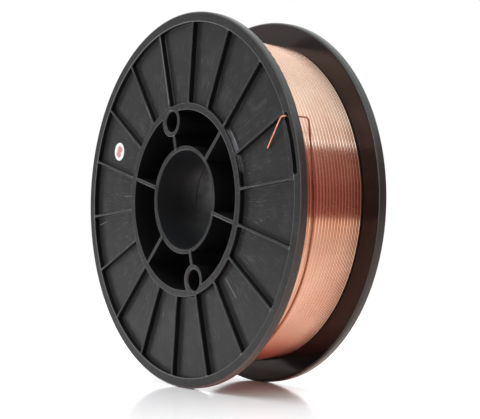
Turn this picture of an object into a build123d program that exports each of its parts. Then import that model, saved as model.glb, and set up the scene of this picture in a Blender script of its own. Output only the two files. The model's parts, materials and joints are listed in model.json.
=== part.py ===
from build123d import *
import math
import os

# A 5 kg reel of copper-coated welding wire, standing on its two rims.
# X points right, Y runs along the bore away from the viewer, Z points up.
# The origin is the centre of the bore, halfway across the width.
# Lengths are in millimetres. Angles turn from +X towards +Z, seen from the front.

# Reel outline
flange_diameter = 200.0
overall_width = 55.0
flange_thickness = 5.0
rim_face_rounding = 1.0
rim_winding_rounding = 1.4

# Relief moulded into the outer face of each flange, between radial ribs
relief_depth = 3.2
rim_band = 5.4
ribs_per_web = 3
rib_thickness = 1.4
relief_corner_radius = 0.8
relief_edge_bevel = 0.3

# Hollow barrel that carries the winding
barrel_diameter = 103.8
barrel_wall = 3.7

# Bore tube for the machine's spindle
bore_diameter = 53.0
bore_wall = 2.5
bore_setback = 1.0
bore_mouth_chamfer = 0.6
seam_chamfer = 0.25

# Webs between the bore tube and the barrel
web_count = 6
first_web_angle = 44.0
web_thickness = 1.9
web_setback = 0.4
web_root = 1.0

# Two tubes for the spindle's driving pin, with a cover of plastic between hole and winding
driver_hole_diameter = 11.0
driver_cover = 2.4
driver_wall = 2.6
driver_mouth_chamfer = 0.8

# Curved slot through the rim, where the wire end is hooked
slot_width = 3.0
slot_outer_band = 2.5
slot_inner_band = 3.0
slot_lower_margin = 0.8
slot_upper_margin = 0.5

# Winding, filled to a little below the rim
wire_diameter = 1.0
winding_freeboard = 12.0
winding_clearance = 0.2
winding_corner = 0.4

# Loose end of the wire: a last wrap that crosses the winding, then a hook through the slot.
# Its tip rests on the floor of the pocket below the slot.
wrap_clearance = 0.05
wrap_start_angle = -165.0
wrap_sides = (-18.5, -12.5, -8.8, -7.7, -8.35, -9.4)
wrap_arc_share = 0.98
wrap_end_y = -9.9
lead_bend_distance = 3.0
lead_bend_radius = 35.0
lead_end_y = -13.5
hook_bend_radius = 2.2
elbow_bend_radius = 1.5
elbow_standoff = 1.25
elbow_lean = 1.7
elbow_turn = 0.45
tail_reach = 16.5
tail_turn = 5.0
tail_clearance = 0.1

# Round paper sticker on the relief floor
sticker_diameter = 10.5
sticker_thickness = 0.15
sticker_rim_distance = 17.6
sticker_angle = 156.4

# Sizes that follow from the ones above
flange_radius = flange_diameter / 2
half_width = overall_width / 2
inner_face = half_width - flange_thickness
relief_floor = half_width - relief_depth
relief_radius = flange_radius - rim_band
barrel_radius = barrel_diameter / 2
barrel_inner_radius = barrel_radius - barrel_wall
bore_radius = bore_diameter / 2
bore_tube_radius = bore_radius + bore_wall
web_pitch = 360 / web_count
rib_count = web_count * ribs_per_web
rib_pitch = 360 / rib_count
driver_angle = first_web_angle + web_pitch
driver_hole_radius = driver_hole_diameter / 2
driver_tube_radius = driver_hole_radius + driver_wall
driver_pitch_radius = barrel_radius - driver_cover - driver_hole_radius
slot_radius = flange_radius - slot_outer_band - slot_width / 2
slot_land_radius = slot_radius - slot_width / 2 - slot_inner_band
slot_rib_angle = first_web_angle - 2 * rib_pitch
slot_end_turn = math.degrees(slot_width / 2 / slot_radius)
slot_start_angle = slot_rib_angle + slot_lower_margin + slot_end_turn
slot_end_angle = slot_rib_angle + rib_pitch - slot_upper_margin - slot_end_turn
winding_radius = flange_radius - winding_freeboard
wrap_radius = winding_radius + wire_diameter / 2 + wrap_clearance
lead_angle = slot_end_angle - math.degrees(math.acos(wrap_radius / slot_radius))
sticker_radius_on_face = relief_radius - sticker_rim_distance
cut_margin = 1.0


def polar(radius, angle):
    """Point of a face at a radius and an angle in degrees."""
    turn = math.radians(angle)
    return (radius * math.cos(turn), radius * math.sin(turn))


def radial_bar(inner, outer, width, angle):
    """Straight bar of a face that runs outwards at one angle."""
    middle = (inner + outer) / 2
    return Rot(0, 0, angle) * Pos(middle, 0) * Rectangle(outer - inner, width)


def turned_section(inner, outer, low, high):
    """Rectangle of a section to be turned about the axis."""
    middle = Pos((inner + outer) / 2, (low + high) / 2)
    return Plane.XZ * middle * Rectangle(outer - inner, high - low)


def section_corner(section, radius, height):
    """Corner of a turned section at a radius and a height."""
    return section.vertices().sort_by_distance((radius, 0, height))[0]


def flange_and_barrel():
    """One flange with its half of the barrel, turned in one piece."""
    barrel = turned_section(barrel_inner_radius, barrel_radius, 0, half_width)
    flange = turned_section(barrel_inner_radius, flange_radius, inner_face, half_width)
    section = barrel + flange
    section = fillet(section_corner(section, flange_radius, half_width), rim_face_rounding)
    section = fillet(section_corner(section, flange_radius, inner_face), rim_winding_rounding)
    return revolve(section, Axis.Z)


def bore_tube():
    """Half of the spindle tube, bevelled at its mouth and at the seam of the two halves."""
    height = half_width - bore_setback
    section = turned_section(bore_radius, bore_tube_radius, 0, height)
    section = chamfer(section_corner(section, bore_radius, height), bore_mouth_chamfer)
    section = chamfer(section_corner(section, bore_radius, 0), seam_chamfer)
    return revolve(section, Axis.Z)


def relief_outline():
    """The pockets between the ribs, with a wider rim beside the wire slot."""
    outline = Circle(relief_radius) - Circle(barrel_radius)
    for index in range(rib_count):
        angle = first_web_angle + index * rib_pitch
        outline -= radial_bar(0, flange_radius, rib_thickness, angle)
    reach = flange_radius + rim_band
    wedge = Polygon(
        (0, 0),
        polar(reach, slot_rib_angle),
        polar(reach, slot_rib_angle + rib_pitch),
        align=None,
    )
    outline -= wedge & (Circle(relief_radius) - Circle(slot_land_radius))
    return fillet(outline.vertices(), relief_corner_radius)


def cut_relief(half):
    """Sinks the pockets into the flange and bevels their edges on the face."""
    half -= extrude(Pos(0, 0, relief_floor) * relief_outline(), relief_depth + cut_margin)
    face = half.faces().filter_by(Axis.Z).sort_by(Axis.Z)[-1]
    pockets = [wire for wire in face.inner_wires() if len(wire.edges()) > 1]
    edges = [edge for wire in pockets for edge in wire.edges()]
    return chamfer(edges, relief_edge_bevel)


def hub_webs():
    """Radial webs that hold the bore tube inside the barrel."""
    webs = Sketch()
    for index in range(web_count):
        angle = first_web_angle + index * web_pitch
        webs += radial_bar(
            bore_tube_radius - web_root,
            barrel_inner_radius + web_root,
            web_thickness,
            angle,
        )
    return extrude(webs, half_width - web_setback)


def driver_centres():
    """Centres of the two driving-pin holes, opposite each other."""
    return [
        polar(driver_pitch_radius, driver_angle),
        polar(driver_pitch_radius, driver_angle + 180),
    ]


def driver_tubes():
    """Two tubes that stand against the inside of the barrel."""
    tubes = Sketch()
    for centre in driver_centres():
        tubes += Pos(*centre) * Circle(driver_tube_radius)
    return extrude(tubes & Circle(barrel_radius), half_width)


def cut_driver_holes(half):
    """Bores both driving-pin tubes and bevels their mouths."""
    for centre in driver_centres():
        half -= extrude(Pos(*centre) * Circle(driver_hole_radius), half_width)
    mouths = half.edges().filter_by(GeomType.CIRCLE)
    mouths = mouths.filter_by(lambda edge: abs(edge.radius - driver_hole_radius) < 0.001)
    mouths = mouths.filter_by(lambda edge: edge.center().Z > half_width / 2)
    return chamfer(mouths, driver_mouth_chamfer)


def wire_slot():
    """Curved slot with round ends, right through the rim."""
    middle_line = CenterArc((0, 0), slot_radius, slot_start_angle, slot_end_angle - slot_start_angle)
    outline = SlotArc(middle_line, slot_width)
    return extrude(Pos(0, 0, inner_face - cut_margin) * outline, flange_thickness + 2 * cut_margin)


def reel_half():
    """One half moulding, with its outer face up and its seam face at zero height."""
    half = cut_relief(flange_and_barrel())
    half += bore_tube()
    half += hub_webs()
    half += driver_tubes()
    half = cut_driver_holes(half)
    return half - wire_slot()


def winding():
    """All turns of the wire, as one turned body that fills the space between the flanges."""
    inner = barrel_radius + winding_clearance
    edge = inner_face - winding_clearance
    section = turned_section(inner, winding_radius, -edge, edge)
    for side in (-edge, edge):
        section = chamfer(section_corner(section, winding_radius, side), winding_corner)
    return Rot(90, 0, 0) * revolve(section, Axis.Z)


def wrap_points():
    """Corner points of the last wrap, which leaves the front flange and crosses the winding."""
    step = (lead_angle - wrap_start_angle) / len(wrap_sides)
    corner_radius = wrap_radius / math.cos(math.radians(step / 2))
    start_y = -(inner_face - wire_diameter / 2 - winding_clearance)
    x, z = polar(wrap_radius, wrap_start_angle)
    points = [(x, start_y, z)]
    for index, side in enumerate(wrap_sides):
        x, z = polar(corner_radius, wrap_start_angle + (index + 0.5) * step)
        points.append((x, side, z))
    return points


def hook_points():
    """Corner points of the hook: off the winding, out through the slot, over its edge into the pocket."""
    lead_x, lead_z = polar(wrap_radius, lead_angle)
    rise_x, rise_z = polar(lead_bend_distance, lead_angle + 90)
    slot_x, slot_z = polar(slot_radius, slot_end_angle)
    elbow_x, elbow_z = polar(slot_radius - elbow_lean, slot_end_angle + elbow_turn)
    tip_x, tip_z = polar(slot_land_radius - tail_reach, slot_end_angle - tail_turn)
    return [
        (lead_x + rise_x, wrap_end_y, lead_z + rise_z),
        (slot_x, lead_end_y, slot_z),
        (slot_x, -half_width, slot_z),
        (elbow_x, -(half_width + elbow_standoff), elbow_z),
        (tip_x, -(relief_floor + wire_diameter / 2 + tail_clearance), tip_z),
    ]


def loose_wire():
    """The loose end of the wire, along straight runs joined by tangent arcs."""
    points = wrap_points() + hook_points()
    radii = [wrap_arc_share * wrap_radius] * len(wrap_sides)
    radii += [lead_bend_radius, hook_bend_radius, elbow_bend_radius, elbow_bend_radius]
    path = FilletPolyline(*points, radius=radii)
    start = Plane(origin=path @ 0, z_dir=path % 0)
    return sweep(start * Circle(wire_diameter / 2), path=path)


def sticker():
    """Thin round sticker that lies flat on the floor of the front relief."""
    x, z = polar(sticker_radius_on_face, sticker_angle)
    disc = extrude(Circle(sticker_diameter / 2), sticker_thickness)
    return Pos(x, -relief_floor, z) * Rot(90, 0, 0) * disc


# The front half faces -Y. The back half is the same moulding, turned over about
# the line through both driving-pin holes, so that their bores run straight through.
front_half = Rot(90, 0, 0) * reel_half()
turn_x, turn_z = polar(1, driver_angle)
back_half = front_half.rotate(Axis((0, 0, 0), (turn_x, 0, turn_z)), 180)

nodes = {
    "spool_half_front": front_half,
    "spool_half_back": back_half,
    "wire_coil": winding(),
    "wire_end": loose_wire(),
    "inspection_sticker": sticker(),
}

os.makedirs("parts", exist_ok=True)
for name, node in nodes.items():
    node.label = name
    export_step(node, f"parts/{name}.step")
    print(name, round(node.volume, 1))
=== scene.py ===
# %% [markdown]
# A reel of copper-coated welding wire.
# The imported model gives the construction: two ribbed reel halves, the winding, the loose
# wire end and a round sticker. This lesson gives them their looks: black moulded plastic
# with hairlines and scuffs, a winding of real turns, a bright wire end and printed paper.
# Everything is in metres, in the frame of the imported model, so nothing has to be fitted.

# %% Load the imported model
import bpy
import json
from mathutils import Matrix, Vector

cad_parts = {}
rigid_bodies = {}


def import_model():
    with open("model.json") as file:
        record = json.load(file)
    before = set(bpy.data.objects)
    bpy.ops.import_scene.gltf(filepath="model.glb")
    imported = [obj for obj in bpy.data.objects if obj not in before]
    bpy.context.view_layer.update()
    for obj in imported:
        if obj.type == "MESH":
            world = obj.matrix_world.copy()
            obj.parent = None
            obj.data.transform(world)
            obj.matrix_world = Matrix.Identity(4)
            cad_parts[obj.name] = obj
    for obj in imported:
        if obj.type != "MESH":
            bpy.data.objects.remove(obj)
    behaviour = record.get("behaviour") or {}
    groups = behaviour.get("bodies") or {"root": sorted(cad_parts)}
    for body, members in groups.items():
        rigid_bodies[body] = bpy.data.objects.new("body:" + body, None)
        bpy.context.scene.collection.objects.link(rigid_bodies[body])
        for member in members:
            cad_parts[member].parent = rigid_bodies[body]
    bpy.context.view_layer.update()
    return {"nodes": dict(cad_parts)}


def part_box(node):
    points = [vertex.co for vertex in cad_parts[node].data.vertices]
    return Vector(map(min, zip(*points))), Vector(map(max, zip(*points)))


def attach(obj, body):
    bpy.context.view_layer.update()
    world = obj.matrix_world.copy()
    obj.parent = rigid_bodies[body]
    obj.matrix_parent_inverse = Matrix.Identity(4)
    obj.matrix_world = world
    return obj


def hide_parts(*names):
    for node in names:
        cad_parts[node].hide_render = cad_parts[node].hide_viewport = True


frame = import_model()
print("nodes:", sorted(frame["nodes"]))

# %% [markdown]
# Sizes come first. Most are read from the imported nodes, so that the looks follow the
# construction. One unit name keeps the millimetres of a maker's drawing readable.

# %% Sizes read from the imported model
import json
import math
import random

import bpy
from mathutils import Vector

mm = 0.001
coil_low, coil_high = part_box("wire_coil")
half_low, half_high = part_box("spool_half_front")
sticker_low, sticker_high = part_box("inspection_sticker")
coil_radius = coil_high.x
coil_half_width = coil_high.y
flange_radius = half_high.x
face_depth = -half_low.y
sticker_centre = (sticker_low + sticker_high) / 2
print("winding radius", round(coil_radius, 4), "width", round(coil_high.y - coil_low.y, 4))

# %% [markdown]
# Each material below is a small graph of nodes. Adding a node, giving it its settings and
# wiring its inputs is the same three steps every time, so one helper does them. The others
# are short names for the nodes that are needed again and again: sums, products, a soft step
# between two limits, a mix of two colours and a noise.

# %% Helpers for node graphs
def add_node(tree, kind, inputs=None, **settings):
    """Adds a node. Each input is given a value, or the output that feeds it."""
    node = tree.nodes.new(kind)
    for name, value in settings.items():
        setattr(node, name, value)
    for name, value in (inputs or {}).items():
        if isinstance(value, bpy.types.NodeSocket):
            tree.links.new(value, node.inputs[name])
        else:
            node.inputs[name].default_value = value
    return node


def new_material(name):
    material = bpy.data.materials.new(name)
    material.use_nodes = True
    tree = material.node_tree
    return material, tree, tree.nodes["Principled BSDF"]


def object_place(tree):
    """The place on the piece, in metres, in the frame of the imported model."""
    return add_node(tree, "ShaderNodeTexCoord").outputs["Object"]


def split(tree, vector):
    return add_node(tree, "ShaderNodeSeparateXYZ", {0: vector}).outputs


print("node helpers ready")

# %% Helpers for sums and masks
def maths(tree, operation, *values, clamp=False):
    inputs = dict(enumerate(values))
    return add_node(tree, "ShaderNodeMath", inputs, operation=operation, use_clamp=clamp).outputs[0]


def total(tree, first, *others):
    for value in others:
        first = maths(tree, "ADD", first, value)
    return first


def product(tree, first, *others):
    for value in others:
        first = maths(tree, "MULTIPLY", first, value)
    return first


def vector_maths(tree, operation, *vectors):
    """A sum with vectors. A length and a dot product come out as plain numbers."""
    inputs = dict(enumerate(vectors))
    outputs = add_node(tree, "ShaderNodeVectorMath", inputs, operation=operation).outputs
    return outputs["Value" if operation in ("LENGTH", "DOT_PRODUCT") else "Vector"]


def soft_step(tree, value, low, high, to_low=0.0, to_high=1.0):
    inputs = {"Value": value, "From Min": low, "From Max": high, "To Min": to_low, "To Max": to_high}
    return add_node(tree, "ShaderNodeMapRange", inputs, interpolation_type="SMOOTHSTEP").outputs[0]


def mix_colour(tree, share, first, second):
    inputs = {0: share, 6: first, 7: second}
    return add_node(tree, "ShaderNodeMix", inputs, data_type="RGBA").outputs[2]


def noise(tree, vector, scale, detail=2.0, roughness=0.5):
    inputs = {"Vector": vector, "Scale": scale, "Detail": detail, "Roughness": roughness}
    return add_node(tree, "ShaderNodeTexNoise", inputs).outputs["Fac"]


print("sum and mask helpers ready")

# %% [markdown]
# The camera stands low in front of the reel and to its right, where it sees the ribbed
# face and the side of the winding at once. A long lens keeps both flanges nearly the same
# size. The camera's tilt and turn are two angles, as on a tripod head.

# %% Camera
camera_place = (509.0 * mm, -366.0 * mm, -27.6 * mm)
camera_turn = 53.456
camera_tilt = 2.098
camera_lens = 85.80
sensor_width = 36.0

bpy.ops.object.camera_add(location=camera_place)
camera = bpy.context.object
camera.rotation_euler = (math.radians(90 + camera_tilt), 0, math.radians(camera_turn))
camera.data.lens = camera_lens
camera.data.sensor_width = sensor_width
camera.data.sensor_fit = "HORIZONTAL"
bpy.context.scene.camera = camera
bpy.context.scene.view_settings.view_transform = "Standard"
print("camera at", camera_place)

# %% [markdown]
# The floor is a sheet of glossy white acrylic. It shows a soft reflection of the reel that
# fades a hand's width away, and a shadow between the flanges. Its near and left sides run
# far out. Its right and far sides end half a metre away, so that the low rays which the
# copper mirrors on that side find the dim end of the studio and not more white.
# A photographer lights such a sheet until it is pure white in the picture. The material
# does the same: it is brighter for the camera's rays than for the light that it throws on
# the reel. What the copper and the plastic mirror of it is painted warm on the right, and
# brighter close to the reel: painted light that stands in for the warm light which the
# winding throws on the sheet, and that lifts the shade under the reel.

# %% Floor
floor_level = -flange_radius
floor_near_left = 1.6
floor_far_right = 0.50

bpy.ops.mesh.primitive_plane_add(size=1.0, location=(0, 0, 0))
floor = bpy.context.object
floor.name = "floor"
for vertex in floor.data.vertices:
    vertex.co.x = floor_far_right if vertex.co.x > 0 else -floor_near_left
    vertex.co.y = floor_far_right if vertex.co.y > 0 else -floor_near_left
    vertex.co.z = floor_level
print("floor at", floor_level)

# %% Colours of the floor
floor_colour = (0.93, 0.93, 0.93, 1.0)
exposed_colour = (1.50, 1.50, 1.52, 1.0)
front_colour = (1.3, 1.3, 1.3, 1.0)
left_colour = (1.5, 1.5, 1.5, 1.0)
clear_gloss = (1.0, 1.0, 1.0, 1.0)
floor_gloss_roughness = 0.11
floor_index = 1.6
left_range = (-0.50, -0.30)
painted_warm_light_range = (-0.02, 0.01)
# Painted light: warm colours, brightest close to the reel, that the copper and the plastic see in the floor
# on the right.
painted_warm_light_stops = [
    (0.000, (1.20, 0.80, 0.80)),
    (0.020, (1.75, 0.86, 0.86)),
    (0.038, (2.10, 1.60, 1.45)),
    (0.055, (1.95, 1.68, 1.55)),
    (0.075, (1.35, 1.12, 1.00)),
    (0.105, (0.98, 0.80, 0.71)),
    (0.160, (0.83, 0.68, 0.59)),
    (0.230, (0.76, 0.62, 0.53)),
    (0.400, (1.05, 0.80, 0.62)),
]


def ramp(tree, value, stops):
    """Colours at given values, joined by straight blends."""
    node = add_node(tree, "ShaderNodeValToRGB", {"Fac": value})
    while len(node.color_ramp.elements) < len(stops):
        node.color_ramp.elements.new(1.0)
    for element, (position, colour) in zip(node.color_ramp.elements, stops):
        element.position = position
        element.color = (*colour, 1.0)
    return node.outputs["Color"]


print(len(painted_warm_light_stops), "warm colours to the right of the axis")

# %% Floor material
floor_material, tree, shader = new_material("white_acrylic")
tree.nodes.remove(shader)
place = split(tree, object_place(tree))
right = place["X"]
rays = add_node(tree, "ShaderNodeLightPath").outputs
left_side = mix_colour(tree, soft_step(tree, place["Y"], *left_range), front_colour, left_colour)
painted_warm_light = ramp(tree, right, painted_warm_light_stops)
mirrored = mix_colour(tree, soft_step(tree, right, *painted_warm_light_range), left_side, painted_warm_light)
matt_colour = mix_colour(tree, rays["Is Glossy Ray"], floor_colour, mirrored)
matt_colour = mix_colour(tree, rays["Is Camera Ray"], matt_colour, exposed_colour)
matt = add_node(tree, "ShaderNodeBsdfDiffuse", {"Color": matt_colour}).outputs[0]
gloss_inputs = {"Color": clear_gloss, "Roughness": floor_gloss_roughness}
glossy = add_node(tree, "ShaderNodeBsdfGlossy", gloss_inputs).outputs[0]
grazing = add_node(tree, "ShaderNodeFresnel", {"IOR": floor_index}).outputs[0]
sheet = add_node(tree, "ShaderNodeMixShader", {0: grazing, 1: matt, 2: glossy}).outputs[0]
tree.links.new(sheet, tree.nodes["Material Output"].inputs["Surface"])
floor.data.materials.append(floor_material)
print("floor material ready")

# %% [markdown]
# Studio light. A matt surface gets an even, plain light from the world, and more from three
# lamps. A mirror-like surface gets the studio itself: a wide softbox overhead, a white
# sheet behind the reel on the left, a dimmer room in front with a bright strip light on its
# right, and the dark end of the studio on the right. The copper and the glossy plastic need
# that contrast to read as what they are, and the strip draws the bright band across the
# winding. One world can be both because a node tells it what kind of ray is asking.

# %% Colours and places of the studio
ambient_level = 0.52
plain_white = (1.0, 1.0, 1.0, 1.0)
overhead_range = (math.sin(math.radians(30.5)), math.sin(math.radians(33.0)))
overhead_colours = [
    (31, (1.62, 1.98, 2.10)),
    (34.5, (1.55, 1.88, 1.98)),
    (37, (0.90, 0.86, 0.80)),
    (40.5, (0.95, 0.96, 0.90)),
    (45, (1.16, 1.28, 1.26)),
    (50, (1.14, 1.26, 1.24)),
    (54, (1.12, 1.26, 1.26)),
    (80, (1.12, 1.28, 1.28)),
]
overhead_left_colour = (1.12, 1.04, 1.04, 1.0)
overhead_left_range = (0.1, -0.4)
sheet_colour = (0.95, 0.97, 1.0, 1.0)
sheet_foot_colour = (1.40, 1.41, 1.43, 1.0)
sheet_range = (-0.2, 0.3)
sheet_foot_back_range = (0.35, 0.50)
sheet_foot_height_range = (0.22, 0.15)
print(len(overhead_colours), "colours of the softbox overhead, by elevation")

# %% Colours and places of the room, its dark end and the strip light
room_left_colour = (0.32, 0.32, 0.32, 1.0)
room_right_colour = (0.28, 0.28, 0.28, 1.0)
room_high_colour = (0.62, 0.62, 0.62, 1.0)
below_left_colour = (1.3, 1.3, 1.3, 1.0)
below_right_colour = (1.1, 1.1, 1.1, 1.0)
room_left_range = (-0.63, -0.49)
room_high_range = (0.04, 0.20)
below_range = (0.010, -0.020)
dark_low_colour = (0.28, 0.115, 0.10, 1.0)
dark_high_colour = (0.36, 0.19, 0.16, 1.0)
dark_end_turn = math.radians(10)
dark_end_range = (0.24, 0.40)
dark_height_range = (0.05, 0.40)
strip_colour = (4.5, 4.5, 4.5, 1.0)
strip_turn = math.radians(-66)
strip_range = (math.cos(math.radians(9)), math.cos(math.radians(5)))
strip_foot_range = (-0.06, 0.0)
strip_top_range = (0.76, 0.70)
print("strip light", round(math.degrees(dark_end_turn - strip_turn)), "degrees from the dark end")

# %% World: directions
straight_up_limit = 0.001

world = bpy.data.worlds.new("studio")
bpy.context.scene.world = world
world.use_nodes = True
world.cycles.sampling_method = "NONE"
tree = world.node_tree
direction = add_node(tree, "ShaderNodeTexCoord").outputs["Generated"]
east, north, up = split(tree, direction)
level = maths(tree, "SQRT", maths(tree, "SUBTRACT", 1.0, product(tree, up, up)))
level = maths(tree, "MAXIMUM", level, straight_up_limit)


def toward(turn):
    """1 where a ray's compass direction is the one at this turn, and -1 where it is opposite."""
    along = total(tree, product(tree, east, math.cos(turn)), product(tree, north, math.sin(turn)))
    return maths(tree, "DIVIDE", along, level)


print("world directions ready")

# %% World: the room and its dark end
leftness = soft_step(tree, north, *room_left_range)
room = mix_colour(tree, leftness, room_right_colour, room_left_colour)
room = mix_colour(tree, soft_step(tree, up, *room_high_range), room, room_high_colour)
below = mix_colour(tree, leftness, below_right_colour, below_left_colour)
room = mix_colour(tree, soft_step(tree, up, *below_range), room, below)
sheet_foot = soft_step(tree, north, *sheet_foot_back_range)
sheet_foot = product(tree, sheet_foot, soft_step(tree, up, *sheet_foot_height_range))
backdrop = mix_colour(tree, sheet_foot, sheet_colour, sheet_foot_colour)
room = mix_colour(tree, soft_step(tree, north, *sheet_range), room, backdrop)
dark = mix_colour(tree, soft_step(tree, up, *dark_height_range), dark_low_colour, dark_high_colour)
room = mix_colour(tree, soft_step(tree, toward(dark_end_turn), *dark_end_range), room, dark)
print("room ready")

# %% World: the softbox overhead and the strip light
overhead_stops = [(math.sin(math.radians(elevation)), colour) for elevation, colour in overhead_colours]
overhead = ramp(tree, up, overhead_stops)
to_left = soft_step(tree, east, *overhead_left_range)
left_gain = mix_colour(tree, to_left, plain_white, overhead_left_colour)
overhead = vector_maths(tree, "MULTIPLY", overhead, left_gain)
studio = mix_colour(tree, soft_step(tree, up, *overhead_range), room, overhead)
strip = soft_step(tree, toward(strip_turn), *strip_range)
strip = product(tree, strip, soft_step(tree, up, *strip_foot_range), soft_step(tree, up, *strip_top_range))
studio = mix_colour(tree, strip, studio, strip_colour)
print("overhead softbox and strip light ready")

# %% World: what each kind of ray meets
rays = add_node(tree, "ShaderNodeLightPath").outputs
ambient_colour = (ambient_level, ambient_level, ambient_level, 1.0)
light = mix_colour(tree, rays["Is Glossy Ray"], ambient_colour, studio)
light = mix_colour(tree, rays["Is Camera Ray"], light, plain_white)
tree.links.new(light, tree.nodes["Background"].inputs["Color"])
tree.nodes["Background"].inputs["Strength"].default_value = 1.0
print("world ready")

# %% Lamps
# They light matt surfaces only: neither the camera nor a glossy surface sees them, because
# the world already holds what mirrors show.
def softbox(name, place, target, width, height, power):
    bpy.ops.object.light_add(type="AREA", location=place)
    lamp = bpy.context.object
    lamp.name = name
    lamp.data.shape = "RECTANGLE"
    lamp.data.size = width
    lamp.data.size_y = height
    lamp.data.energy = power
    lamp.rotation_euler = (Vector(target) - Vector(place)).to_track_quat("-Z", "Y").to_euler()
    lamp.visible_camera = False
    lamp.visible_glossy = False
    return lamp


lamps = [
    softbox("overhead_softbox", (0.1, -0.1, 1.0), (0, 0, 0), width=1.2, height=1.2, power=11.5),
    softbox("front_softbox", (-0.05, -1.35, 0.20), (0, 0, 0), width=0.45, height=0.45, power=3.4),
    softbox("low_softbox", (-0.36, -0.34, -0.10), (-0.06, -0.03, -0.09), width=0.16, height=0.08, power=1.3),
]
print("lamps:", [lamp.name for lamp in lamps])

# %% [markdown]
# The reel is moulded in black plastic, satin on the outer faces and glossier on the inner
# ones, where the mould was polished. Their reflections are tinted red, a painted reflection
# of the copper, and their tops are painted paler, as painted light from above. The relief
# floors show fine hairlines that run outwards from the hub, a faint mottling, a few rubbed
# marks and specks of dust. Edges are painted paler as painted highlights, and so are a line
# round the edge of the relief, one rib and a bluish streak on the collar. The bore is
# painted paler toward the back and at mid-height, as painted light that comes in from behind.
# All of it can be worked out from the place on the reel: its distance from the axis, the
# angle around it, the depth along it and the height. So the material needs no picture and
# fits both halves. A painted picture could hold more, but it would have to be unwrapped
# onto 18 ribs and their pockets.

# %% Colours of the plastic
mould_colour = (0.0068, 0.0068, 0.0074, 1.0)
bore_colour = (0.014, 0.015, 0.017, 1.0)
bore_painted_light_colour = (0.210, 0.216, 0.226, 1.0)
face_colour = (0.0243, 0.0242, 0.0244, 1.0)
painted_top_light_colour = (0.030, 0.028, 0.028, 1.0)
edge_highlight_colour = (0.20, 0.20, 0.20, 1.0)
rubbed_and_highlight_colour = (0.220, 0.220, 0.222, 1.0)
collar_highlight_colour = (0.22, 0.225, 0.245, 1.0)
sheen_tint = (1.0, 0.97, 0.96, 1.0)
painted_copper_reflection_tint = (1.0, 0.74, 0.70, 1.0)
print("plastic colours ready")

# %% Where the plastic changes
# Each pair is where a change starts and where it is full. They are in metres from the axis,
# above it or from the middle of the width, but for the first one, which is how squarely a
# face looks along the axis.
square_range = (0.3, 0.9)
outer_range = (face_depth - 3.9 * mm, face_depth - 3.3 * mm)
edge_range = (face_depth - 1.0 * mm, face_depth - 0.6 * mm)
rim_skin_range = (flange_radius - 1.4 * mm, flange_radius - 0.6 * mm)
rim_gloss_range = (flange_radius - 1.1 * mm, flange_radius - 0.5 * mm)
hub_range = (57 * mm, 54 * mm)
bore_range = (27.2 * mm, 26.8 * mm)
seam_range = (0.5 * mm, 0.2 * mm)
painted_top_light_range = (52 * mm, 80 * mm)
hair_inward_range = (92 * mm, 58 * mm)
print("outer faces start", round(outer_range[0] / mm, 1), "mm from the middle of the width")

# %% Distances, angles and faces of the reel
flat_on_face = (1.0, 0.0, 1.0)

plastic, tree, shader = new_material("black_reel_plastic")
coordinates = add_node(tree, "ShaderNodeTexCoord").outputs
place = coordinates["Object"]
x, y, z = split(tree, place)
radius = vector_maths(tree, "LENGTH", vector_maths(tree, "MULTIPLY", place, flat_on_face))
angle = maths(tree, "ARCTAN2", z, x)
depth = maths(tree, "ABSOLUTE", y)
squareness = maths(tree, "ABSOLUTE", split(tree, coordinates["Normal"])["Y"])
square = soft_step(tree, squareness, *square_range)
outer_face = product(tree, soft_step(tree, depth, *outer_range), square)
on_face = maths(tree, "MAXIMUM", outer_face, soft_step(tree, radius, *rim_skin_range))
front = soft_step(tree, product(tree, y, -1.0), *outer_range)
print("faces of the reel told apart")

# %% Hairlines, mottling and specks
hair_cells_per_radian = 170.0
hair_cells_per_metre = 100.0

hair_inputs = {
    "X": product(tree, angle, hair_cells_per_radian),
    "Y": product(tree, radius, hair_cells_per_metre),
    "Z": y,
}
hair_place = add_node(tree, "ShaderNodeCombineXYZ", hair_inputs).outputs[0]
hair = noise(tree, hair_place, 1.0, detail=3.0, roughness=0.65)
near_hub = soft_step(tree, radius, *hair_inward_range, to_low=0.25)
hairlines = product(tree, soft_step(tree, hair, 0.58, 0.70), near_hub)
mottling = noise(tree, place, 110.0, detail=4.0, roughness=0.6)
patches = soft_step(tree, mottling, 0.45, 0.75, to_high=0.05)
dust = noise(tree, place, 900.0, detail=1.0)
specks = soft_step(tree, dust, 0.745, 0.775)
print("hairlines, mottling and specks ready")

# %% Rubs and scratches of the front face, and a painted highlight on one rib
# Each is given by its angle in degrees, its inner and outer distance from the axis, its
# half width and its lean, and its strength. Distances are in millimetres, and the lean is
# how far the mark drifts aside for each millimetre outwards.
rubs_and_rib_highlight = [
    (186.6, 85.5, 95.0, 0.35, 0.12, 0.9),
    (124.0, 55.0, 66.0, 0.9, 0.0, 0.35),
    (-49.5, 53.0, 69.0, 0.7, 0.06, 0.4),
    (35.0, 73.0, 85.0, 1.6, -0.15, 0.10),
    (175.6, 54.0, 66.0, 0.4, 0.05, 0.45),
    # The last mark is no rub but a painted highlight along the rib at 104 degrees.
    (103.6, 53.0, 94.0, 0.8, 0.0, 0.6),
]
rub_fade = 2 * mm


def closeness(tree, value, middle, far, close, full=1.0):
    """Full where a value is close to a middle one, and 0 where it is far from it."""
    distance = maths(tree, "ABSOLUTE", maths(tree, "SUBTRACT", value, middle))
    return soft_step(tree, distance, far, close, to_high=full)


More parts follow.
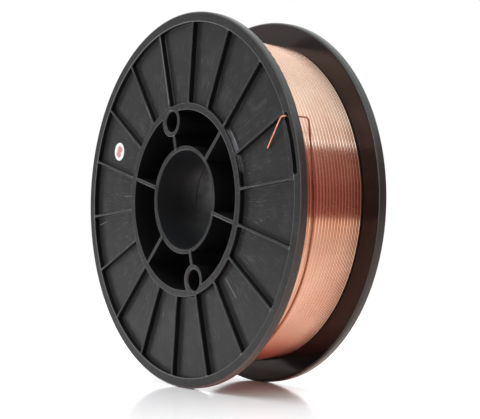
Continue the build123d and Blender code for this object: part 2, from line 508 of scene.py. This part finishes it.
rub_and_highlight_masks = []
for mark_angle, inner, outer, half_width, lean, strength in rubs_and_rib_highlight:
    turn = math.radians(mark_angle)
    inner = inner * mm
    outer = outer * mm
    along = vector_maths(tree, "DOT_PRODUCT", place, (math.cos(turn), 0.0, math.sin(turn)))
    aside = vector_maths(tree, "DOT_PRODUCT", place, (-math.sin(turn), 0.0, math.cos(turn)))
    middle = product(tree, maths(tree, "SUBTRACT", along, inner), lean)
    band = closeness(tree, aside, middle, half_width * mm, 0.0, strength)
    start = soft_step(tree, along, inner, inner + rub_fade)
    end = soft_step(tree, along, outer, outer - rub_fade)
    rub_and_highlight_masks.append(product(tree, band, start, end))
rub_and_highlight_mask = maths(tree, "MULTIPLY", total(tree, *rub_and_highlight_masks), front, clamp=True)
print(len(rubs_and_rib_highlight), "rubs_and_rib_highlight")

# %% Edges
# A Bevel node works out a rounded normal near each edge. Where it disagrees with the true
# one there is an edge, which catches the light, and its colour is painted paler there as a
# painted highlight.
edge_roundness = 0.7 * mm
edge_agreement_range = (0.998, 0.95)
relief_edge_radius = 94.75 * mm
painted_edge_line_strength = 0.55

rounded = add_node(tree, "ShaderNodeBevel", {"Radius": edge_roundness}, samples=8).outputs[0]
true_normal = add_node(tree, "ShaderNodeNewGeometry").outputs["True Normal"]
agreement = vector_maths(tree, "DOT_PRODUCT", rounded, true_normal)
near_face = soft_step(tree, depth, *edge_range)
edges = product(tree, soft_step(tree, agreement, *edge_agreement_range), near_face)
# A line round the outer edge of the relief is painted paler too: a painted highlight.
painted_edge_line = closeness(tree, radius, relief_edge_radius, 0.45 * mm, 0.15 * mm, painted_edge_line_strength)
painted_edge_line = product(tree, painted_edge_line, near_face)
print("edge masks ready")

# %% Wear and painted highlights of the faces, and a painted highlight on the collar
collar_radius = 52.2 * mm
collar_highlight_angle = math.radians(28.0)
collar_highlight_far = math.radians(16)
collar_highlight_close = math.radians(10)
collar_highlight_depth_range = (face_depth - 0.8 * mm, face_depth - 1.4 * mm)
hairline_strength = 0.45
speck_strength = 0.5

# This sum holds real hairlines, mottling, rubbed marks and specks of dust, and also the painted highlights of
# the relief edge and of one rib.
wear_and_highlights = total(
    tree,
    product(tree, hairlines, hairline_strength),
    patches,
    rub_and_highlight_mask,
    painted_edge_line,
    product(tree, specks, speck_strength),
)
wear_and_highlights = maths(tree, "MULTIPLY", wear_and_highlights, on_face, clamp=True)
# A bluish streak on the collar is painted pale: a painted highlight of the softbox overhead.
painted_collar_highlight = product(
    tree,
    closeness(tree, radius, collar_radius, 0.6 * mm, 0.3 * mm),
    closeness(tree, angle, collar_highlight_angle, collar_highlight_far, collar_highlight_close),
    front,
    soft_step(tree, mottling, 0.35, 0.55, to_low=0.3),
    soft_step(tree, depth, *collar_highlight_depth_range),
)
print("wear ready")

# %% Skin of the bore
# It is painted paler, most toward the back and at mid-height: painted light that comes in
# from behind. A fine dark seam runs round it where the two halves meet.
bore_noise = noise(tree, place, 60.0, detail=4.0, roughness=0.6)
bore_painted_light = product(
    tree,
    soft_step(tree, y, -12 * mm, 14 * mm),
    soft_step(tree, bore_noise, 0.30, 0.62, to_low=0.25),
    soft_step(tree, z, -14 * mm, 8 * mm, to_low=0.3),
    soft_step(tree, z, 21 * mm, 13 * mm),
)
bore_skin = mix_colour(tree, bore_painted_light, bore_colour, bore_painted_light_colour)
bore_skin = mix_colour(tree, soft_step(tree, depth, *seam_range), bore_skin, mould_colour)
print("bore ready")

# %% Plastic colour
rib_edge_highlight_share = 0.07
hub_edge_highlight_share = 0.25

skin = mix_colour(tree, soft_step(tree, radius, *bore_range), mould_colour, bore_skin)
inner_face = product(tree, square, maths(tree, "SUBTRACT", 1.0, on_face))
# The tops of the inner faces are painted paler: painted light from above.
painted_top_light = product(tree, inner_face, soft_step(tree, z, *painted_top_light_range))
skin = mix_colour(tree, painted_top_light, skin, painted_top_light_colour)
skin = mix_colour(tree, on_face, skin, face_colour)
edge_highlight_share = soft_step(tree, radius, *hub_range, rib_edge_highlight_share, hub_edge_highlight_share)
# Edges are painted paler here: painted highlights.
skin = mix_colour(tree, product(tree, edges, edge_highlight_share), skin, edge_highlight_colour)
skin = mix_colour(tree, wear_and_highlights, skin, rubbed_and_highlight_colour)
skin = mix_colour(tree, painted_collar_highlight, skin, collar_highlight_colour)
tree.links.new(skin, shader.inputs["Base Color"])
print("plastic colour ready")

# %% Plastic gloss
# Each line lays one kind of surface over those before it: walls, inner faces, outer faces,
# the side of the rim, and last the edges. The first number is the roughness, the second
# how strongly the surface mirrors.
def mix_value(tree, share, first, second):
    inputs = {0: share, 2: first, 3: second}
    return add_node(tree, "ShaderNodeMix", inputs, data_type="FLOAT").outputs[0]


roughness = 0.38
strength = 0.15
rim_side = soft_step(tree, radius, *rim_gloss_range)
edge_strength = soft_step(tree, radius, *hub_range, 0.28, 0.40)
for mask, surface_roughness, surface_strength in (
    (square, 0.12, 0.40),
    (on_face, 0.26, 0.24),
    (rim_side, 0.30, 0.65),
    (edges, 0.20, edge_strength),
):
    roughness = mix_value(tree, mask, roughness, surface_roughness)
    strength = mix_value(tree, mask, strength, surface_strength)
tree.links.new(roughness, shader.inputs["Roughness"])
tree.links.new(strength, shader.inputs["Specular IOR Level"])
# The inner faces tint their reflections red: a painted reflection of the copper.
tint = mix_colour(tree, inner_face, sheen_tint, painted_copper_reflection_tint)
tree.links.new(tint, shader.inputs["Specular Tint"])
print("plastic gloss ready")

# %% Grain of the plastic
grain_share = 0.35
hair_share = 0.65
relief_strength = 0.2
relief_height = 0.05 * mm

grain = noise(tree, place, 2600.0, detail=2.0)
relief = total(tree, product(tree, grain, grain_share), product(tree, hair, hair_share))
relief_inputs = {
    "Height": relief,
    "Strength": product(tree, on_face, relief_strength),
    "Distance": relief_height,
    "Normal": rounded,
}
bump = add_node(tree, "ShaderNodeBump", relief_inputs)
tree.links.new(bump.outputs[0], shader.inputs["Normal"])
for name in ("spool_half_front", "spool_half_back"):
    node = frame["nodes"][name]
    node.data.materials.clear()
    node.data.materials.append(plastic)
print("plastic on both halves")

# %% [markdown]
# The winding is one wire, laid turn beside turn from the back flange to the front one.
# A modifier could turn a circle into an even helix, but real turns are never quite even:
# every other one sits a little closer and deeper. So a curve is drawn point by point
# with those small shifts and given the round section of the wire, then made a mesh.

# %% The path of the top layer
wire_diameter = 1.0 * mm
wire_radius = wire_diameter / 2
turn_count = 43
steps_per_turn = 144
last_angle = -165.0
lay_radius = coil_radius - wire_radius
first_y = coil_half_width - wire_radius
pitch = 2 * first_y / turn_count
print(turn_count, "turns at a pitch of", round(pitch / mm, 3), "mm")

# %% How the turns differ
pair_shift = 0.01 * mm
pair_sink = 0.02 * mm
# Every other turn is painted darker: painted shade of the grooves between pairs.
pair_groove_shade = 0.19
random_sink = 0.01 * mm
random_tone = 0.05

random.seed(7)
turn_sink = [random.uniform(0, random_sink) + pair_sink * (turn % 2) for turn in range(turn_count + 1)]
turn_shift = [pair_shift * (1 if turn % 2 else -1) for turn in range(turn_count + 1)]
turn_tone_and_shade = [
    random.uniform(-random_tone, random_tone) + (pair_groove_shade if turn % 2 else -pair_groove_shade)
    for turn in range(turn_count + 1)
]
print("deepest turn sinks", round(max(turn_sink) / mm, 3), "mm")

# %% A point of the top layer
change_share = 0.04


def between_turns(values, turn):
    """Value of a turn, which changes from the turn before in its first few degrees."""
    whole = min(int(turn), turn_count - 1)
    share = min((turn - whole) / change_share, 1.0)
    share = share * share * (3 - 2 * share)
    before = values[max(whole - 1, 0)]
    return before + (values[whole] - before) * share


def lay_point(turn):
    """Middle of the wire after a number of turns from the back flange."""
    turn_angle = math.radians(last_angle + 360 * (turn - turn_count))
    distance = lay_radius - between_turns(turn_sink, turn)
    height = first_y - pitch * turn + between_turns(turn_shift, turn)
    return (distance * math.cos(turn_angle), height, distance * math.sin(turn_angle))


print("first point", [round(value / mm, 2) for value in lay_point(0)], "mm")

# %% Helper that makes a wire of points
smooth_angle = math.radians(50)
steps_per_bend = 10


def wire_along(name, points, kind, sides):
    """A round wire along a line of points, as a closed mesh."""
    curve = bpy.data.curves.new(name, "CURVE")
    curve.dimensions = "3D"
    curve.bevel_depth = wire_radius
    curve.bevel_resolution = (sides - 4) // 2
    curve.use_fill_caps = True
    curve.resolution_u = steps_per_bend
    spline = curve.splines.new(kind)
    spline.points.add(len(points) - 1)
    for spot, point in zip(spline.points, points):
        spot.co = (*point, 1.0)
    if kind == "NURBS":
        spline.order_u = 3
        spline.use_endpoint_u = True
    wire = bpy.data.objects.new(name, curve)
    bpy.context.collection.objects.link(wire)
    bpy.ops.object.select_all(action="DESELECT")
    wire.select_set(True)
    bpy.context.view_layer.objects.active = wire
    bpy.ops.object.convert(target="MESH")
    bpy.ops.object.shade_smooth_by_angle(angle=smooth_angle)
    return bpy.context.object


turn_sides = 8
point_count = turn_count * steps_per_turn + 1
turn_numbers = [step / steps_per_turn for step in range(point_count)]
lay_points = [lay_point(turn) for turn in turn_numbers]
winding_turns = wire_along("winding_turns", lay_points, "POLY", turn_sides)
print("winding:", len(winding_turns.data.vertices), "vertices")

# %% Tone of each turn, kept on the mesh
# The wire's vertices come in rings, one ring for each point of the path, so each ring gets
# the tone of its turn.
tones = [between_turns(turn_tone_and_shade, turn) for turn in turn_numbers for side in range(turn_sides)]
vertex_count = len(winding_turns.data.vertices)
tones += [tones[-1]] * (vertex_count - len(tones))
tone = winding_turns.data.attributes.new("turn_tone_and_shade", "FLOAT", "POINT")
tone.data.foreach_set("value", tones[:vertex_count])
print("tones kept for", vertex_count, "vertices")

# %% [markdown]
# Under the top layer lie some thirty-five more. They only show at the ends of the winding,
# as rows of round edges, one for each layer. That is a turned shape: one row of half
# circles is copied up the end, mirrored to the other end, closed and turned about the bore.

# %% One round edge of the layers below
bore_radius = 52.1 * mm
core_overlap = 0.15 * mm
core_radius = lay_radius + core_overlap
layer_count = 35
layer_rise = (core_radius - bore_radius) / layer_count
edge_bulge = 0.35 * mm
edge_middle = coil_half_width - edge_bulge
edge_sides = 8
touching = 0.01 * mm

bpy.ops.object.select_all(action="DESELECT")
bpy.ops.mesh.primitive_circle_add(
    vertices=edge_sides,
    radius=layer_rise / 2,
    location=(bore_radius + layer_rise / 2, edge_middle, 0),
)
winding_body = bpy.context.object
winding_body.name = "winding_body"
bpy.ops.object.transform_apply(location=True, rotation=True, scale=True)
bpy.ops.object.mode_set(mode="EDIT")
bpy.ops.mesh.select_all(action="DESELECT")
bpy.ops.object.mode_set(mode="OBJECT")
for vertex in winding_body.data.vertices:
    vertex.select = vertex.co.y < edge_middle - touching
bpy.ops.object.mode_set(mode="EDIT")
bpy.ops.mesh.delete(type="VERT")
bpy.ops.object.mode_set(mode="OBJECT")
print("half a round edge:", len(winding_body.data.vertices), "vertices")

# %% Copy the edge up the end, mirror it and close the section
array = winding_body.modifiers.new("layers", "ARRAY")
array.count = layer_count
array.use_relative_offset = False
array.use_constant_offset = True
array.constant_offset_displace = (layer_rise, 0, 0)
array.use_merge_vertices = True
array.merge_threshold = 2 * touching
bpy.ops.object.modifier_apply(modifier="layers")
mirror = winding_body.modifiers.new("other_end", "MIRROR")
mirror.use_axis = (False, True, False)
mirror.use_mirror_merge = False
bpy.ops.object.modifier_apply(modifier="other_end")


def join_pair(distance):
    """Joins the two vertices of the section at one distance from the axis by an edge."""
    for vertex in winding_body.data.vertices:
        vertex.select = abs(vertex.co.x - distance) < touching / 2
    bpy.ops.object.mode_set(mode="EDIT")
    bpy.ops.mesh.edge_face_add()
    bpy.ops.mesh.select_all(action="DESELECT")
    bpy.ops.object.mode_set(mode="OBJECT")


bpy.ops.object.mode_set(mode="EDIT")
bpy.ops.mesh.select_mode(type="VERT")
bpy.ops.mesh.select_all(action="DESELECT")
bpy.ops.object.mode_set(mode="OBJECT")
join_pair(bore_radius)
join_pair(core_radius)
print("section:", len(winding_body.data.vertices), "vertices,", len(winding_body.data.edges), "edges")

# %% Turn the section about the bore
body_steps = 96

turned = winding_body.modifiers.new("turned", "SCREW")
turned.axis = "Y"
turned.steps = body_steps
turned.render_steps = body_steps
turned.use_merge_vertices = True
turned.merge_threshold = touching
bpy.ops.object.modifier_apply(modifier="turned")
bpy.ops.object.mode_set(mode="EDIT")
bpy.ops.mesh.select_all(action="SELECT")
bpy.ops.mesh.remove_doubles(threshold=touching)
bpy.ops.mesh.normals_make_consistent(inside=False)
bpy.ops.mesh.select_all(action="DESELECT")
bpy.ops.object.mode_set(mode="OBJECT")
bpy.ops.object.shade_smooth_by_angle(angle=smooth_angle)
print("winding body:", len(winding_body.data.polygons), "faces")

# %% [markdown]
# The wire is steel with a thin bright coat of copper, drawn through dies, so it is nearly a
# mirror along its length. Copper in a narrow groove mirrors copper, which deepens its
# colour there by itself. The tone kept on the mesh makes every other turn a little darker,
# as painted shade of the grooves between pairs of turns, and adds a little random tone.
# A slow noise tints the coat along the wire. The turns differ most at mid-height, where the
# winding faces the room, and hardly at all where it faces the floor, so the painted shade
# follows where the light falls.

# %% Copper coat
copper_bright = (1.0, 0.74, 0.60, 1.0)
copper_deep = (0.62, 0.28, 0.19, 1.0)
cloud_strength = 0.5
deep_roughness = 0.06


def copper(name, tone_from, roughness):
    """Copper-coated steel. The tone from 0 to 1 runs from bright to deep."""
    material, tree, shader = new_material(name)
    cloud = noise(tree, object_place(tree), 60.0, detail=3.0)
    tone_value = maths(tree, "ADD", tone_from(tree), product(tree, cloud, cloud_strength), clamp=True)
    tree.links.new(mix_colour(tree, tone_value, copper_bright, copper_deep), shader.inputs["Base Color"])
    shader.inputs["Metallic"].default_value = 1.0
    rough = total(tree, roughness, product(tree, tone_value, deep_roughness))
    tree.links.new(rough, shader.inputs["Roughness"])
    return material


print("copper coat ready")

# %% Tones of the coat
even_tone = 0.25
tail_shade_tone = 0.95
height_range = (5 * mm, 60 * mm)
floor_range = (-25 * mm, -8 * mm)


def kept_tone_and_shade(tree):
    """Tone of the turn with its painted groove shade, with less contrast high up and low down on the winding.
    """
    kept = add_node(tree, "ShaderNodeAttribute", attribute_name="turn_tone_and_shade").outputs["Fac"]
    height = split(tree, object_place(tree))["Z"]
    contrast = soft_step(tree, height, *height_range, to_low=2.3, to_high=0.30)
    contrast = product(tree, contrast, soft_step(tree, height, *floor_range, to_low=0.22))
    return total(tree, product(tree, kept, contrast), even_tone)


def plain_tone(tree):
    return even_tone


def shaded_tail_tone(tree):
    return tail_shade_tone


print("three tones ready")

# %% Gloss of closely laid turns
# Die marks and the touching turns spread the gloss across the winding, so it mirrors partly
# like the smooth cylinder that the turns lie on. The material leans its normal that way.
cylinder_share = 0.42

laid_copper = copper("copper_turns", kept_tone_and_shade, 0.12)
tree = laid_copper.node_tree
outward = vector_maths(tree, "MULTIPLY", object_place(tree), flat_on_face)
outward = add_node(
    tree,
    "ShaderNodeVectorTransform",
    {0: outward},
    vector_type="NORMAL",
    convert_from="OBJECT",
    convert_to="WORLD",
).outputs[0]
outward = vector_maths(tree, "NORMALIZE", outward)
own = add_node(tree, "ShaderNodeNewGeometry").outputs["Normal"]
lean = add_node(tree, "ShaderNodeMix", {0: cylinder_share, 4: own, 5: outward}, data_type="VECTOR").outputs[1]
lean = vector_maths(tree, "NORMALIZE", lean)
tree.links.new(lean, tree.nodes["Principled BSDF"].inputs["Normal"])
print("normals lean by", cylinder_share)

# %% Dress the winding
winding_turns.data.materials.append(laid_copper)
winding_body.data.materials.append(copper("copper_layers", plain_tone, 0.3))
for piece in (winding_turns, winding_body):
    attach(piece, "root")
    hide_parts("wire_coil")
print("winding dressed")

# %% [markdown]
# The loose end goes on where the top layer stops. It climbs on top of the winding at the
# front flange and crosses it in half a turn. Then it runs straight up to the slot, through
# the rim, over the slot's edge, and down into the pocket, where its cut tip rests.
# A smooth curve with few control points bends as a stiff wire does.

# %% The path of the loose end
wrap_clearance = 0.05 * mm
wrap_radius = coil_radius + wire_radius + wrap_clearance
wrap_step = 11.0
climb_angle = 9.0
wrap_route = [
    (last_angle, -21.3),
    (-150.0, -18.3),
    (-124.0, -12.5),
    (-97.0, -8.9),
    (-69.0, -7.5),
    (-55.0, -7.7),
    (-45.0, -8.3),
    (-27.0, -8.4),
    (-12.0, -9.6),
    (0.0, -10.0),
]
hook_route = [
    (88.60, -10.0, 4.0),
    (88.61, -11.1, 14.0),
    (88.62, -12.1, 24.0),
    (88.63, -13.0, 32.3),
    (88.63, -13.5, 36.6),
    (88.63, -17.8, 36.8),
    (88.63, -25.4, 36.6),
    (88.63, -27.5, 36.5),
    (86.77, -28.72, 36.4),
    (85.10, -28.32, 34.9),
    (71.49, -24.90, 22.68),
]
print(len(wrap_route), "places of the wrap and", len(hook_route), "of the hook")

# %% Control points of the wrap
# The wire runs inside its control points, so they stand out by the corner share for it to
# touch the winding. Full steps end at the step limit, and a shorter one leads to the hook.
corner_share = 1 / math.cos(math.radians(wrap_step / 2))
step_limit = -1.4 * wrap_step
last_wrap_angle = -0.5 * wrap_step
end_sides = 12


def wrap_side(turn_angle):
    """Distance across the winding at an angle, between the measured places."""
    for (low, low_side), (high, high_side) in zip(wrap_route, wrap_route[1:]):
        if turn_angle <= high:
            share = (turn_angle - low) / (high - low)
            return (low_side + (high_side - low_side) * share) * mm
    return wrap_route[-1][1] * mm


def wrap_point(turn_angle):
    """Control point of the last wrap at an angle in degrees."""
    climb = min((turn_angle - last_angle) / climb_angle, 1.0)
    distance = lay_radius + (wrap_radius * corner_share - lay_radius) * climb
    turn = math.radians(turn_angle)
    return (distance * math.cos(turn), wrap_side(turn_angle), distance * math.sin(turn))


wrap_angles = [last_angle, last_angle + climb_angle / 3, last_angle + climb_angle]
while wrap_angles[-1] < step_limit:
    wrap_angles.append(wrap_angles[-1] + wrap_step)
wrap_angles.append(last_wrap_angle)
wrap = [wrap_point(turn_angle) for turn_angle in wrap_angles]
hook = [tuple(mm * value for value in point) for point in hook_route]
loose_wire = wire_along("loose_wire", wrap + hook, "NURBS", end_sides)
print("loose wire:", len(loose_wire.data.vertices), "vertices")

# %% The cut tip shows the steel
# The two flat ends of the wire are its only faces with more than four corners.
steel_dark = (0.42, 0.41, 0.40, 1.0)
steel_light = (0.62, 0.60, 0.58, 1.0)
tip = Vector(hook[-1])

steel, tree, shader = new_material("cut_steel")
shear_lines = noise(tree, object_place(tree), 6000.0, detail=2.0)
tree.links.new(mix_colour(tree, shear_lines, steel_dark, steel_light), shader.inputs["Base Color"])
shader.inputs["Metallic"].default_value = 1.0
shader.inputs["Roughness"].default_value = 0.38
# The loose end is painted a deep copper: painted shade for the dim room in front that it mirrors.
loose_wire.data.materials.append(copper("copper_end", shaded_tail_tone, 0.26))
loose_wire.data.materials.append(steel)
for face in loose_wire.data.polygons:
    if len(face.vertices) > 4 and (face.center - tip).length < wire_radius:
        face.material_index = 1
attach(loose_wire, "root")
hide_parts("wire_end")
print("cut faces:", sum(face.material_index for face in loose_wire.data.polygons))

# %% [markdown]
# The sticker is matt white paper with a small red stamp. The stamp here is a plain pattern
# of short bars, drawn by the material from the distance to the sticker's centre. A noise
# gives the bars uneven lengths and wears the ink.

# %% Stamp on the sticker
stamp_lean = math.radians(52)
bar_pitch = 1.35 * mm
bar_reach = 4.4 * mm
stamp_range = (3.5 * mm, 3.2 * mm)
bar_end_range = (0.2 * mm, -0.2 * mm)

paper, tree, shader = new_material("stamped_paper")
place = object_place(tree)
stamp_inputs = {"Vector": place, "Location": tuple(sticker_centre), "Rotation": (0.0, -stamp_lean, 0.0)}
stamp_place = add_node(tree, "ShaderNodeMapping", stamp_inputs, vector_type="TEXTURE").outputs[0]
stamp_parts = split(tree, stamp_place)
along = stamp_parts["X"]
aside = maths(tree, "ABSOLUTE", stamp_parts["Z"])
bar_place = maths(tree, "FRACT", maths(tree, "DIVIDE", along, bar_pitch))
bars = closeness(tree, bar_place, 0.5, 0.42, 0.32)
ends = soft_step(tree, maths(tree, "ABSOLUTE", along), *stamp_range)
reach = product(tree, noise(tree, stamp_place, 420.0, detail=1.0), bar_reach)
tops = soft_step(tree, maths(tree, "SUBTRACT", aside, reach), *bar_end_range)
worn = soft_step(tree, noise(tree, place, 2400.0), 0.15, 0.35)
stamp = product(tree, bars, ends, tops, worn)
print("stamp ready")

# %% Paper of the sticker
stamp_red = (0.42, 0.04, 0.05, 1.0)
paper_white = (0.80, 0.79, 0.78, 1.0)
paper_shade = (0.68, 0.67, 0.65, 1.0)
shade_share = 0.12
fibre_height = 0.02 * mm

fibres = noise(tree, place, 1500.0, detail=4.0)
sheet_skin = mix_colour(tree, product(tree, fibres, shade_share), paper_white, paper_shade)
tree.links.new(mix_colour(tree, stamp, sheet_skin, stamp_red), shader.inputs["Base Color"])
shader.inputs["Roughness"].default_value = 0.6
paper_bump = add_node(tree, "ShaderNodeBump", {"Height": fibres, "Strength": 0.2, "Distance": fibre_height})
tree.links.new(paper_bump.outputs[0], shader.inputs["Normal"])
sticker = frame["nodes"]["inspection_sticker"]
sticker.data.materials.clear()
sticker.data.materials.append(paper)
print("sticker at", [round(value, 4) for value in sticker_centre])

# %% [markdown]
